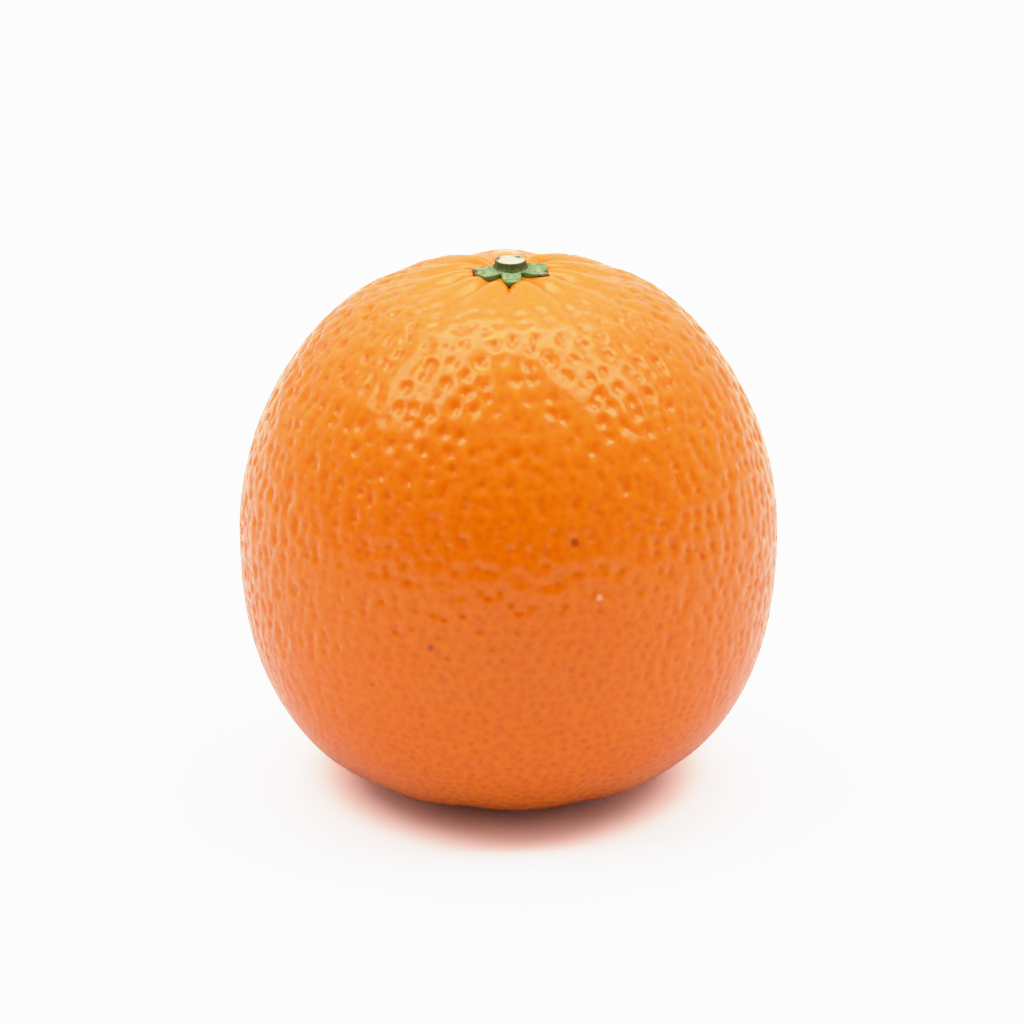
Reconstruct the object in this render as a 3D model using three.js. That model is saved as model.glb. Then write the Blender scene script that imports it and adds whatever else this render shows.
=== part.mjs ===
// A clementine as picked: the whole fruit in its rind, the green calyx of sepals at its
// stem end, and the short stub of the snipped stalk standing on the calyx.
// Millimetres, +Z up. The origin is on the surface that the fruit rests on, under its axis,
// and -Y is the side with the deepest furrow beside the calyx.
import * as THREE from "three";

const { degToRad, euclideanModulo, lerp, smoothstep } = THREE.MathUtils;
const FULL_TURN = 360; // degrees

// Body of the fruit: two half superellipses that meet at the widest level, the girth.
// An exponent of 2 is an ellipse, and a larger one is squarer.
const GIRTH_RADIUS = 30;
const CROWN = { rise: 32.65, fullness: 1.93 };
const BASE = { rise: 31.25, fullness: 2.52 };

// Broad flattening of the two ends, the hollow that holds the calyx, the dimple that the
// flower's style left, and how much of the base is pressed flat by resting on it.
const CROWN_FLATTENING = { depth: 1.95, radius: 14.4, steepness: 4 };
const BASE_FLATTENING = { depth: 1.85, radius: 17, steepness: 4 };
const CALYX_HOLLOW = { depth: 0.96, radius: 4.25, steepness: 4 };
const STYLE_DIMPLE = { depth: 0.9, radius: 3, steepness: 2 };
const SEAT_RADIUS = 2.1; // flat spot under the calyx
const STEM_LEAN = { shift: 0.25, from: 49, to: 57 }; // towards +X, between two heights
const REST_SINK = 0.35;
const GIRTH_LEVEL = BASE.rise - BASE_FLATTENING.depth - REST_SINK;

// Furrows between the fruit's segments. They run out from the calyx, where they are
// narrow grooves, and open into shallow valleys. Azimuths are in degrees and rise past 360.
const GROOVE = { sharpness: 0.4, until: 4 };
const OPEN_VALLEY = { sharpness: 0.9, from: 12 };
const FURROWS = [
  { azimuth: 268, depth: 1.6, reach: 7.5 },
  { azimuth: 306, depth: 1.0, reach: 9 },
  { azimuth: 340, depth: 1.0, reach: 9 },
  { azimuth: 372, depth: 1.1, reach: 10 },
  { azimuth: 404, depth: 1.6, reach: 12 },
  { azimuth: 436, depth: 2.0, reach: 12 },
  { azimuth: 472, depth: 1.6, reach: 12 },
  { azimuth: 505, depth: 1.4, reach: 12 },
  { azimuth: 534, depth: 1.1, reach: 10 },
  { azimuth: 563, depth: 1.0, reach: 9 },
  { azimuth: 595, depth: 1.0, reach: 9 },
];
const BASE_FURROW = { depth: 0.5, reach: 9 }; // all alike, deepest at this distance
const SEGMENT_TWIST = -14; // degrees that the segments turn from crown to base
const SEGMENTS = FURROWS.length;

// Calyx: a plate drawn out into blunt sepals, some of which droop over the crown.
const CALYX_THICKNESS = 0.68;
const CALYX_EDGE = 0.14; // rounding of the plate's edge
const CALYX_NOTCH_RADIUS = 2.2;
const CALYX_CLEARANCE = 0.08; // between the sepals and the rind under them
const SEPAL_SHOULDER = 24; // degrees from a notch out to a sepal's full reach
const SEPALS = [
  { azimuth: 1, halfWidth: 37, reach: 4.1, droop: 0 },
  { azimuth: 92, halfWidth: 34, reach: 4.1, droop: 0.1 },
  { azimuth: 209, halfWidth: 42, reach: 4.3, droop: 0.05 },
  { azimuth: 272, halfWidth: 31, reach: 4.4, droop: 0.35 },
  { azimuth: 329, halfWidth: 26, reach: 4.8, droop: 0.05 },
];

// Stub of the stalk: a low plug with a flared foot and a slightly dished cut.
const STUB_FOOT_RADIUS = 1.95;
const STUB_CUT_RADIUS = 1.73;
const STUB_HEIGHT = 0.82;
const STUB_DISH = 0.12;

// How finely the surfaces are divided.
const COLUMNS = 8 * SEGMENTS;
const FRUIT_RINGS = 42;
const POLE_CROWDING = 0.5; // 0 spaces the rings evenly, and 1 gathers them at the poles
const CALYX_RINGS = 7;
const STUB_COLUMNS = 36;

// Azimuth in degrees at a turn (0 to 1) round the fruit, with a furrow at each 1/SEGMENTS.
function azimuthAt(turn) {
  const place = euclideanModulo(turn, 1) * SEGMENTS;
  const segment = Math.floor(place);
  const end = FURROWS[segment + 1]?.azimuth ?? FURROWS[0].azimuth + FULL_TURN;
  return lerp(FURROWS[segment].azimuth, end, place - segment);
}

// Rounded crests between sharp valleys: 1 in a furrow and 0 midway between two furrows.
function valley(turn, sharpness) {
  return 1 - Math.pow(Math.abs(Math.sin(Math.PI * SEGMENTS * turn)), sharpness);
}

function nearestFurrow(turn) {
  return FURROWS[Math.round(euclideanModulo(turn, 1) * SEGMENTS) % SEGMENTS];
}

function crownFurrow(distance, turn) {
  const { depth, reach } = nearestFurrow(turn);
  const spread = smoothstep(distance, GROOVE.until, OPEN_VALLEY.from);
  const sharpness = lerp(GROOVE.sharpness, OPEN_VALLEY.sharpness, spread);
  const opening = smoothstep(distance, SEAT_RADIUS, 2 * SEAT_RADIUS);
  return depth * valley(turn, sharpness) * opening * Math.exp(-((distance / reach) ** 2));
}

function baseFurrow(distance, turn) {
  const share = distance / BASE_FURROW.reach;
  const fade = Math.pow(share * Math.exp(1 - share), 1.5);
  return BASE_FURROW.depth * valley(turn, OPEN_VALLEY.sharpness) * fade;
}

function hollow(distance, { depth, radius, steepness }) {
  return depth * Math.exp(-Math.pow(distance / radius, steepness));
}

// Height of a half superellipse over the girth, at a distance from the axis.
function dome(distance, { rise, fullness }) {
  const share = Math.min(distance / GIRTH_RADIUS, 1);
  return rise * Math.pow(1 - Math.pow(share, fullness), 1 / fullness);
}

function crownHeight(distance, turn) {
  const outside = Math.max(distance, SEAT_RADIUS);
  return (
    GIRTH_LEVEL +
    dome(outside, CROWN) -
    hollow(outside, CROWN_FLATTENING) -
    hollow(outside, CALYX_HOLLOW) -
    crownFurrow(outside, turn)
  );
}

function baseHeight(distance, turn) {
  const height =
    GIRTH_LEVEL -
    dome(distance, BASE) +
    hollow(distance, BASE_FLATTENING) +
    hollow(distance, STYLE_DIMPLE) +
    baseFurrow(distance, turn);
  return Math.max(height, 0);
}

// Distance from the axis at a polar angle, measured from +Z at the middle of the girth.
function distanceAt(polar) {
  const { rise, fullness } = polar < Math.PI / 2 ? CROWN : BASE;
  const across = Math.pow(Math.sin(polar) / GIRTH_RADIUS, fullness);
  const along = Math.pow(Math.abs(Math.cos(polar)) / rise, fullness);
  return Math.sin(polar) * Math.pow(across + along, -1 / fullness);
}

function atAzimuth(distance, azimuth, height) {
  const angle = degToRad(azimuth);
  const lean = STEM_LEAN.shift * smoothstep(height, STEM_LEAN.from, STEM_LEAN.to);
  return [lean + distance * Math.cos(angle), distance * Math.sin(angle), height];
}

// The whole fruit in its rind: a ball whose vertices are carried out to its surface. The
// ball's u is the turn round the fruit, and its v falls from 1 at the crown to 0 at the base.
function fruitGeometry() {
  const ball = new THREE.SphereGeometry(1, COLUMNS, FRUIT_RINGS);
  const { position, uv } = ball.attributes;
  for (let i = 0; i < position.count; i++) {
    const turn = uv.getX(i) % 1;
    const fall = 1 - uv.getY(i);
    const polar = Math.PI * fall - (POLE_CROWDING / 2) * Math.sin(2 * Math.PI * fall);
    const distance = distanceAt(polar);
    const height = polar < Math.PI / 2 ? crownHeight(distance, turn) : baseHeight(distance, turn);
    const azimuth = azimuthAt(turn) + SEGMENT_TWIST * smoothstep(fall, 0, 1);
    position.setXYZ(i, ...atAzimuth(distance, azimuth, height));
  }
  ball.computeVertexNormals();
  return ball;
}

const SEAT_LEVEL = crownHeight(0, 0);
const CALYX_TOP = SEAT_LEVEL + CALYX_THICKNESS;

// How fully an azimuth lies on a sepal: 1 on its middle, 0 from the notches outwards.
function onSepal(azimuth, sepal) {
  const apart = Math.abs(euclideanModulo(azimuth - sepal.azimuth + 180, FULL_TURN) - 180);
  return smoothstep(sepal.halfWidth - apart, 0, SEPAL_SHOULDER);
}

function calyxReach(azimuth) {
  const drawn = SEPALS.map((sepal) => (sepal.reach - CALYX_NOTCH_RADIUS) * onSepal(azimuth, sepal));
  return CALYX_NOTCH_RADIUS + Math.max(...drawn);
}

// Fall of the calyx at its rim, which grows with the square of the distance out to it.
function calyxDroop(azimuth) {
  return Math.max(...SEPALS.map((sepal) => sepal.droop * onSepal(azimuth, sepal)));
}

// Outline of half a coin of radius 1 with a rounded edge, from the axis out and back.
function coinProfile() {
  const inner = 1 - CALYX_EDGE;
  const steps = Array.from({ length: CALYX_RINGS }, (_, i) => (i / CALYX_RINGS) * inner);
  const corner = (height, start) =>
    new THREE.Path().absarc(inner, height, CALYX_EDGE, start, start + Math.PI / 2).getPoints(3);
  return [
    ...steps.map((x) => new THREE.Vector2(x, 0)),
    ...corner(CALYX_EDGE, -Math.PI / 2),
    ...corner(CALYX_THICKNESS - CALYX_EDGE, 0),
    ...steps.reverse().map((x) => new THREE.Vector2(x, CALYX_THICKNESS)),
  ];
}

// A coin whose rim is drawn out to the sepals and whose underside lies over the crown.
function calyxGeometry() {
  const coin = new THREE.LatheGeometry(coinProfile(), COLUMNS);
  const { position, uv } = coin.attributes;
  for (let i = 0; i < position.count; i++) {
    const turn = uv.getX(i) % 1;
    const azimuth = azimuthAt(turn);
    const share = Math.hypot(position.getX(i), position.getZ(i));
    const distance = share * calyxReach(azimuth);
    const top = CALYX_TOP - calyxDroop(azimuth) * share ** 2;
    const clear = crownHeight(distance, turn) + CALYX_CLEARANCE * smoothstep(distance, 0, SEAT_RADIUS);
    const bottom = Math.max(clear, top - CALYX_THICKNESS);
    const height = lerp(bottom, top, position.getY(i) / CALYX_THICKNESS);
    position.setXYZ(i, ...atAzimuth(distance, azimuth, height));
  }
  coin.computeVertexNormals();
  return coin;
}

// The plug of the stalk, turned on a lathe, with its foot on the calyx.
function stubGeometry() {
  const profile = new THREE.Path()
    .moveTo(0, 0)
    .lineTo(STUB_FOOT_RADIUS, 0)
    .quadraticCurveTo(STUB_CUT_RADIUS, 0.25 * STUB_HEIGHT, STUB_CUT_RADIUS, 0.85 * STUB_HEIGHT)
    .quadraticCurveTo(STUB_CUT_RADIUS, STUB_HEIGHT, 0.93 * STUB_CUT_RADIUS, STUB_HEIGHT)
    .quadraticCurveTo(0.5 * STUB_CUT_RADIUS, STUB_HEIGHT - STUB_DISH, 0, STUB_HEIGHT - STUB_DISH);
  return new THREE.LatheGeometry(profile.getPoints(4), STUB_COLUMNS).rotateX(Math.PI / 2);
}

function piece(name, geometry, color, roughness) {
  const mesh = new THREE.Mesh(geometry, new THREE.MeshStandardMaterial({ color, roughness, metalness: 0 }));
  mesh.name = name;
  return mesh;
}

const fruit = piece("fruit", fruitGeometry(), "#ee7d0c", 0.38);
const calyx = piece("calyx", calyxGeometry(), "#8aa678", 0.6);
const stalkStub = piece("stalk_stub", stubGeometry(), "#6f6a24", 0.7);
stalkStub.position.set(STEM_LEAN.shift, 0, CALYX_TOP);

const clementine = new THREE.Group();
clementine.add(fruit, calyx, stalkStub);

export default clementine;
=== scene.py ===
"""A clementine as picked: its pitted rind, the calyx at its stem end and the stub of stalk.

Shapes are worked out in millimetres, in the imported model's own frame: +Z up, the origin on
the surface that the fruit rests on, and -Y towards the viewer.
"""

import bpy
import numpy as np
from bpy.props import FloatProperty, FloatVectorProperty, PointerProperty
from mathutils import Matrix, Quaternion, Vector


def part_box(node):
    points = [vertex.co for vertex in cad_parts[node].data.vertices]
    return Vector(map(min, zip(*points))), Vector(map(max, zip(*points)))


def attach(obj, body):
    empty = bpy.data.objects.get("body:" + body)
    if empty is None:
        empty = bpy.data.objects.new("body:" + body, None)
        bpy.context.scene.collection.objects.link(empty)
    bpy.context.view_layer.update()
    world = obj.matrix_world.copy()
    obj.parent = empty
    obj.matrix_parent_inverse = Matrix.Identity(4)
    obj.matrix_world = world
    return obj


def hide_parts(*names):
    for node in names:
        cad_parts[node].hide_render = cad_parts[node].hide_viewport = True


bl_info = {
    "name": "Clementine",
    "version": (1, 0, 0),
    "blender": (4, 5, 0),
    "location": "3D View > Sidebar > Clementine",
    "description": "Adds a clementine's pitted rind, calyx and stalk stub, and a pale stage",
    "category": "Add Mesh",
}

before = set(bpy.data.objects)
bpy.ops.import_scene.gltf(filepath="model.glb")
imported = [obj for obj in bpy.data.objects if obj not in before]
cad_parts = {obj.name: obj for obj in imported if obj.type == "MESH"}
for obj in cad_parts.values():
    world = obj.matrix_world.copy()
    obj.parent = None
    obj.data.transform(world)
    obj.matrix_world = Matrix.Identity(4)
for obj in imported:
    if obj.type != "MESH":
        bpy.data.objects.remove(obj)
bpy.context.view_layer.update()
MM = 0.001  # metres

# Body of the fruit: two half superellipses that meet at the widest level, the girth.
GIRTH_RADIUS = round((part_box("fruit")[1].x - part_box("fruit")[0].x) / MM) / 2
CROWN = {"rise": 32.65, "fullness": 1.93}
BASE = {"rise": 31.25, "fullness": 2.52}
CROWN_FLATTENING = {"depth": 1.95, "radius": 14.4, "steepness": 4}
BASE_FLATTENING = {"depth": 1.85, "radius": 17, "steepness": 4}
CALYX_HOLLOW = {"depth": 0.96, "radius": 4.25, "steepness": 4}
STYLE_DIMPLE = {"depth": 0.9, "radius": 3, "steepness": 2}
SEAT_RADIUS = 2.1  # flat spot under the calyx
LEAN_SHIFT = 0.25  # the stem end leans towards +X between these heights
LEAN_HEIGHTS = (49, 57)
REST_SINK = 0.35
GIRTH_LEVEL = BASE["rise"] - BASE_FLATTENING["depth"] - REST_SINK

# Furrows between the segments: azimuth in degrees, depth and reach.
FURROWS = np.array([
    (268, 1.6, 7.5),
    (306, 1.0, 9),
    (340, 1.0, 9),
    (372, 1.1, 10),
    (404, 1.6, 12),
    (436, 2.0, 12),
    (472, 1.6, 12),
    (505, 1.4, 12),
    (534, 1.1, 10),
    (563, 1.0, 9),
    (595, 1.0, 9),
])
SEGMENTS = len(FURROWS)
GROOVE_SHARPNESS = 0.55
VALLEY_SHARPNESS = 1.3
FURROW_OPENS = (3.5, 9)  # distances between which a groove becomes an open valley
BASE_FURROW = {"depth": 0.5, "reach": 9}
SEGMENT_TWIST = -14  # degrees, from crown to base

# Oil glands. Each large one has a wide hollow and a narrow pit in it, which flatten out towards
# the base. Small ones have a shallow pit each. Heights and distances are in millimetres.
LARGE_SEED, SMALL_SEED, CHANCE_SEED = 1, 2, 3
SPACING_GROWS = (0, 58)  # heights between which the large glands' spacing widens
LINE_STEPS = 4000  # down the line from crown to base that the rings are measured along
GLAND_MARGIN = 3  # above and below a row of points, within which glands can touch it
RING_GAP = 0.88  # between rings of glands, as a share of the spacing
GLAND_SCATTER = 0.3  # as a share of the spacing
SMOOTH_CROWN = (6, 15)  # distances from the axis between which the glands come in
PITS_DEEPEN = (8, 28)  # heights between which the large pits get deeper
HOLLOWS_DEEPEN = (5, 28)  # and the hollows round them
HOLLOW_WIDTH = 0.31  # of its bell curve, as a share of the spacing
HOLLOW_LIFT = 0.35  # of the skin between them, as a share of their depth
LEAST_PIT = 0.2  # of a large pit's depth, as chance varies it
LEAST_HOLLOW = 0.35  # of a hollow's depth
CROWN_FADE = 0.7  # share of large dots' darkness and small pits' depth that is lost higher up
LARGE_RADIUS = (0.3, 0.46)  # smallest and largest pit, as shares of the spacing
SMALL_RADIUS = (0.56, 0.74)
LARGE_NEAR, SMALL_NEAR = 3, 1  # how many of the nearest glands shape each spot

# Look of the rind. Sizes and depths are in millimetres.
WAX_TINT = (1.0, 1.0, 0.6, 1.0)  # of the gloss: a little yellow, which warms the highlights
WANDER_SIZE = 1.6  # of the waves that bend the outlines of pits and specks
WANDER = 0.28
GRAIN_SIZE = 0.35
GRAIN_DEPTH = 0.018
CLOUD_SIZE = 22  # of the redder patches
CLOUD_STRENGTH = 0.35
PAINTED_LIGHT_HEIGHTS = (52, 22)  # painted light and shade: the rind is painted yellower near the top, where more light falls, and redder on the way down between them
# shares of the redder colour at those heights; below 0 paints the top yellower, as painted light
PAINTED_LIGHT_SHARES = (-0.3, 0.8)
DOT_STRENGTH = 0.42
GLOW_DEPTH = 0.8  # that light travels under the skin
GLOW_COLOURS = (1.0, 0.7, 0.3)
PALE_SPECK = "#ffd9b0"

# Scars and pale specks on the rind, scattered by chance between two heights. Most are small.
SPECK_COUNT = 24
SPECK_SEED = 4
SPECK_HEIGHTS = (12, 50)
SPECK_RADII = (0.15, 0.7)
SCAR_STRENGTHS = (0.4, 0.9)
PALE_EVERY = 6  # one speck in so many is pale
PALE_STRENGTH = -0.5  # below 0 for a pale one
STYLE_SCAR = (1.1, 0.9)  # radius and strength of the scar in the dimple at the base

# Calyx and stub.
CALYX_THICKNESS = 0.68
CALYX_EDGE = 0.14
CALYX_NOTCH_RADIUS = 2.2
CALYX_CLEARANCE = 0.08
SEPAL_SHOULDER = 24  # degrees
SEPALS = (  # azimuth and half width in degrees, reach, droop
    (1, 37, 4.1, 0),
    (92, 34, 4.1, 0.1),
    (209, 42, 4.3, 0.05),
    (272, 31, 4.4, 0.35),
    (329, 26, 4.8, 0.05),
)
WITHERED = ((196, 1.0), (324, 1.0), (100, 0.7), (8, 0.4))  # azimuth and strength
WITHERED_WIDTH = 11  # degrees
WITHERED_FROM = (0.78, 0.97)  # shares of the reach between which the tips turn brown
RIB_LINES = (-0.45, 0, 0.45)  # as shares of the sepal's half width
RIB_STARTS = (0.5, 0.62)  # shares of the reach between which the ribs rise
RIB_ENDS = (1, 0.88)
WAVE_HEIGHT = 0.04
WAVE_STARTS = (0.55, 0.85)
RIB_HEIGHT = 0.05
RIB_WIDTH = 0.16
STUB_FOOT_RADIUS = 1.95
STUB_CUT_RADIUS = 1.73
STUB_HEIGHT = 0.82
STUB_DISH = 0.12
STUB_BRUISES = ((165, 0.84), (50, 0.74))  # azimuth in degrees, distance as a share of the cut's
BRUISE_LENGTH = 0.32  # round the cut, and its width across, as shares of the cut's radius
BRUISE_WIDTH = 0.12
FIBRE = "#948660"
BRUISE = "#2c1a0a"
STREAK = "#636c22"

# Points round each surface, and rows of points down it.
RIND_GRID = (40 * SEGMENTS, 226)
CALYX_COLUMNS = 32 * SEGMENTS
CALYX_TOP_ROWS, CALYX_CORNER_ROWS, CALYX_UNDER_ROWS = 34, 9, 10
STUB_COLUMNS = 180
CUT_ROWS, RIM_ROWS, WALL_ROWS, FOOT_ROWS = 30, 14, 24, 8

POLE_CROWDING = 0.35  # 0 spaces the rows evenly, and 1 gathers them at the poles

FLOOR_SIZE = 6.0  # metres, as are the stage's other sizes
FLOOR_SEEN = 1.53  # brightness to the viewer, over 1 so that it comes out as white as a backdrop
FLOOR_BOUNCE = 0.75  # of the same floor, for the light it gives back to the fruit
BACKDROP = "#fafafc"
LIGHT_DISTANCE = 1.2
SOFT_BOXES = (  # name, direction from the fruit, width and height, turn in degrees, brightness
    ("left_soft_box", (-0.5, -0.1, 0.85), (0.55, 0.8), 0, 5.0),
    ("right_soft_box", (0.55, -0.05, 0.85), (0.45, 0.8), 20, 5.5),
    ("back_soft_box", (0, 0.35, 0.95), (0.95, 0.5), 0, 4.5),
)
PALE_WALLS = (  # direction, where the glow starts and is full, as cosines, and brightness
    ((0, 0, 1), (0.4, 1.0), 0.8),
    ((-1, 0, 0.2), (0.2, 0.9), 0.3),
    ((1, 0, 0.2), (0.2, 0.9), 0.3),
    ((0, 1, 1), (0.5, 1.0), 0.6),
    ((-1, 1, 0), (0.4, 0.9), 0.5),
    ((1, 1, 0), (0.4, 0.9), 0.5),
)
CAMERA_ELEVATION = 21  # degrees
CAMERA_DISTANCE = 0.6
CAMERA_AIM = (0.0004, 0, 0.03054)
CAMERA_LENS = 188.7  # millimetres, as is the sensor's width
SENSOR_WIDTH = 36

SHOULDER = 0.76  # light above which whites roll off, up to the brightest
BRIGHTEST = 4.0
SHOULDER_POINTS = 12

MIX_A, MIX_B, MIX_COLOUR = 6, 7, 2  # a colour Mix node's sockets


def smoothstep(x, low, high):
    share = np.clip((x - low) / (high - low), 0, 1)
    return share * share * (3 - 2 * share)


def grey(value):
    return (value, value, value, 1.0)


def linear(code):
    """A colour in linear light, with alpha, from its sRGB hex code."""
    channels = [int(code[i:i + 2], 16) / 255 for i in (1, 3, 5)]
    light = [c / 12.92 if c <= 0.04045 else ((c + 0.055) / 1.055) ** 2.4 for c in channels]
    return (*light, 1.0)


# The fruit's own shape, as functions of the distance from the axis and the turn round it.

def azimuth_at(turn):
    """Azimuth in degrees at a turn from 0 to 1, with a furrow at each 1 / SEGMENTS."""
    azimuths = np.append(FURROWS[:, 0], FURROWS[0, 0] + 360)
    return np.interp(turn * SEGMENTS, np.arange(SEGMENTS + 1), azimuths)


def valley(turn, sharpness):
    """Rounded crests between sharp valleys: 1 in a furrow and 0 midway between two."""
    return 1 - np.abs(np.sin(np.pi * SEGMENTS * turn)) ** sharpness


def crown_furrow(distance, turn):
    """Depth of the furrows: a valley that is sharp at the calyx, opens and then dies away."""
    nearest = np.rint(turn * SEGMENTS).astype(int) % SEGMENTS
    depth, reach = FURROWS[nearest, 1], FURROWS[nearest, 2]
    spread = smoothstep(distance, *FURROW_OPENS)
    sharpness = GROOVE_SHARPNESS + (VALLEY_SHARPNESS - GROOVE_SHARPNESS) * spread
    opening = smoothstep(distance, SEAT_RADIUS, 2 * SEAT_RADIUS)
    return depth * valley(turn, sharpness) * opening * np.exp(-((distance / reach) ** 2))


def base_furrow(distance, turn):
    share = distance / BASE_FURROW["reach"]
    fade = (share * np.exp(1 - share)) ** 1.5
    return BASE_FURROW["depth"] * valley(turn, VALLEY_SHARPNESS) * fade


def hollow(distance, depth, radius, steepness):
    return depth * np.exp(-((distance / radius) ** steepness))


def dome(distance, rise, fullness):
    """Height of a half superellipse over the girth."""
    share = np.minimum(distance / GIRTH_RADIUS, 1)
    return rise * (1 - share ** fullness) ** (1 / fullness)


def crown_height(distance, turn):
    outside = np.maximum(distance, SEAT_RADIUS)
    return (
        GIRTH_LEVEL
        + dome(outside, **CROWN)
        - hollow(outside, **CROWN_FLATTENING)
        - hollow(outside, **CALYX_HOLLOW)
        - crown_furrow(outside, turn)
    )


def base_height(distance, turn):
    height = (
        GIRTH_LEVEL
        - dome(distance, **BASE)
        + hollow(distance, **BASE_FLATTENING)
        + hollow(distance, **STYLE_DIMPLE)
        + base_furrow(distance, turn)
    )
    return np.maximum(height, 0)


def distance_at(polar):
    """Distance from the axis at a polar angle, measured from +Z at the middle of the girth."""
    upper = polar < np.pi / 2
    rise = np.where(upper, CROWN["rise"], BASE["rise"])
    fullness = np.where(upper, CROWN["fullness"], BASE["fullness"])
    across = (np.sin(polar) / GIRTH_RADIUS) ** fullness
    along = (np.abs(np.cos(polar)) / rise) ** fullness
    return np.sin(polar) * (across + along) ** (-1 / fullness)


def at_azimuth(distance, azimuth, height):
    angle = np.radians(azimuth)
    lean = LEAN_SHIFT * smoothstep(height, *LEAN_HEIGHTS)
    x = lean + distance * np.cos(angle)
    y = distance * np.sin(angle)
    return np.stack(np.broadcast_arrays(x, y, height), axis=-1)


SEAT_LEVEL = float(crown_height(np.array(0.0), np.array(0.0)))
CALYX_TOP = SEAT_LEVEL + CALYX_THICKNESS


def surface_normals(points):
    """Outward unit normals of a grid of points that closes round its columns."""
    across = np.roll(points, -1, axis=1) - np.roll(points, 1, axis=1)
    down = np.gradient(points, axis=0)
    normals = np.cross(down, across)
    return normals / np.maximum(np.linalg.norm(normals, axis=-1, keepdims=True), 1e-12)


def closed_surface(name, points, at_points=None, at_faces=None):
    """An object over a grid of points in millimetres, shaped (rows, columns, 3).

    The columns close round, and the first and last rows each shrink to their first point.
    at_points holds values for the same grid by name, and at_faces for its (rows - 1) bands."""
    rows, columns = points.shape[:2]
    index = 1 + np.arange((rows - 2) * columns).reshape(rows - 2, columns)
    beside = np.roll(index, -1, axis=1)
    last = index[-1, -1] + 1
    quads = np.stack([index[:-1], index[1:], beside[1:], beside[:-1]], axis=-1)
    first_fan = np.stack([np.zeros(columns, int), index[0], beside[0]], axis=-1)
    last_fan = np.stack([np.full(columns, last), beside[-1], index[-1]], axis=-1)
    faces = quads.reshape(-1, 4).tolist() + first_fan.tolist() + last_fan.tolist()
    mesh = bpy.data.meshes.new(name)
    mesh.from_pydata((by_vertex(points) * MM).tolist(), [], faces)
    for key, values in (at_points or {}).items():
        store(mesh, key, "POINT", by_vertex(values))
    for key, values in (at_faces or {}).items():
        store(mesh, key, "FACE", by_face(values))
    mesh.shade_smooth()
    piece = bpy.data.objects.new(name, mesh)
    bpy.context.scene.collection.objects.link(piece)
    return piece


def by_vertex(grid):
    """A grid's values in the order of its mesh's vertices."""
    inner = grid[1:-1].reshape(-1, *grid.shape[2:])
    return np.concatenate([grid[:1, 0], inner, grid[-1:, 0]])


def by_face(bands):
    """Values for the bands between a grid's rows, in the order of its mesh's faces."""
    inner = bands[1:-1].reshape(-1, *bands.shape[2:])
    return np.concatenate([inner, bands[0], bands[-1]])


def store(mesh, key, domain, values):
    vector = values.ndim == 2
    attribute = mesh.attributes.new(key, "FLOAT_VECTOR" if vector else "FLOAT", domain)
    attribute.data.foreach_set("vector" if vector else "value", values.astype(np.float32).ravel())


def finish_piece(piece, node, material):
    """Puts the piece in place of its solid."""
    piece.data.materials.append(material)
    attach(piece, "root")
    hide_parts(node)


# Nodes

def add_node(tree, kind, settings=None, inputs=None):
    """Adds a node with its settings. Each input is a value, a socket or a node to link from."""
    node = tree.nodes.new(kind)
    for name, value in (settings or {}).items():
        setattr(node, name, value)
    for place, value in (inputs or {}).items():
        if isinstance(value, bpy.types.Node):
            value = value.outputs[0]
        if isinstance(value, bpy.types.NodeSocket):
            tree.links.new(value, node.inputs[place])
        else:
            node.inputs[place].default_value = value
    return node


def new_material(name):
    material = bpy.data.materials.new(name)
    material.use_nodes = True
    material.node_tree.nodes.clear()
    return material, material.node_tree


# Rind

def rind_points(turn, fall):
    """The rind without its pits: fall is 0 at the crown and 1 at the base.

    The ball's angles are carried out to the two half superellipses, less the furrows."""
    polar = np.pi * fall - POLE_CROWDING / 2 * np.sin(2 * np.pi * fall)
    distance = distance_at(polar)
    height = np.where(polar < np.pi / 2, crown_height(distance, turn), base_height(distance, turn))
    azimuth = azimuth_at(turn) + SEGMENT_TWIST * smoothstep(fall, 0, 1)
    return at_azimuth(distance, azimuth, height)


def spread_glands(crown_spacing, base_spacing, seed):
    """Places of the glands, and the spacing round each.

    They lie on rings from crown to base. The rings are about a spacing apart and each has a
    gland to a spacing, from a turn of its own. Then each gland is jittered."""
    fall = np.linspace(0, 1, LINE_STEPS)
    line = rind_points(0.5 / SEGMENTS, fall)
    middle = (line[1:] + line[:-1]) / 2
    fall_middle = (fall[1:] + fall[:-1]) / 2
    step = np.linalg.norm(np.diff(line, axis=0), axis=1)
    around = 2 * np.pi * np.hypot(middle[:, 0], middle[:, 1])
    widened = smoothstep(middle[:, 2], *SPACING_GROWS)
    spacing = base_spacing + (crown_spacing - base_spacing) * widened
    ring_count = np.append(0, np.cumsum(step / (RING_GAP * spacing)))
    ring_fall = np.interp(np.arange(int(ring_count[-1])) + 0.5, ring_count, fall)
    ring_gap = np.interp(ring_fall, fall_middle, spacing)
    in_ring = np.maximum(np.rint(np.interp(ring_fall, fall_middle, around) / ring_gap), 1).astype(int)
    ring = np.repeat(np.arange(len(in_ring)), in_ring)
    order = np.arange(len(ring)) - np.repeat(np.cumsum(in_ring) - in_ring, in_ring)
    random = np.random.default_rng(seed)
    start = random.uniform(0, 1, len(in_ring))
    scatter = random.uniform(-GLAND_SCATTER, GLAND_SCATTER, (2, len(ring)))
    turn = (order + start[ring] + scatter[0]) / in_ring[ring] % 1
    drop = np.interp(ring_fall, fall_middle, step) * len(fall)
    fall_at = np.clip(ring_fall[ring] + scatter[1] * (ring_gap / drop)[ring], 0, 1)
    return rind_points(turn, fall_at), ring_gap[ring]


def glands_by(line, glands):
    """Which glands are at about the height of a row of points, and how far each is from each
    point, squared."""
    low = line[:, 2].min() - GLAND_MARGIN
    high = line[:, 2].max() + GLAND_MARGIN
    near = np.flatnonzero((glands[:, 2] > low) & (glands[:, 2] < high))
    there = glands[near]
    own = (line ** 2).sum(axis=1)[:, None] + (there ** 2).sum(axis=1)
    return near, own - 2 * line @ there.T


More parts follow.
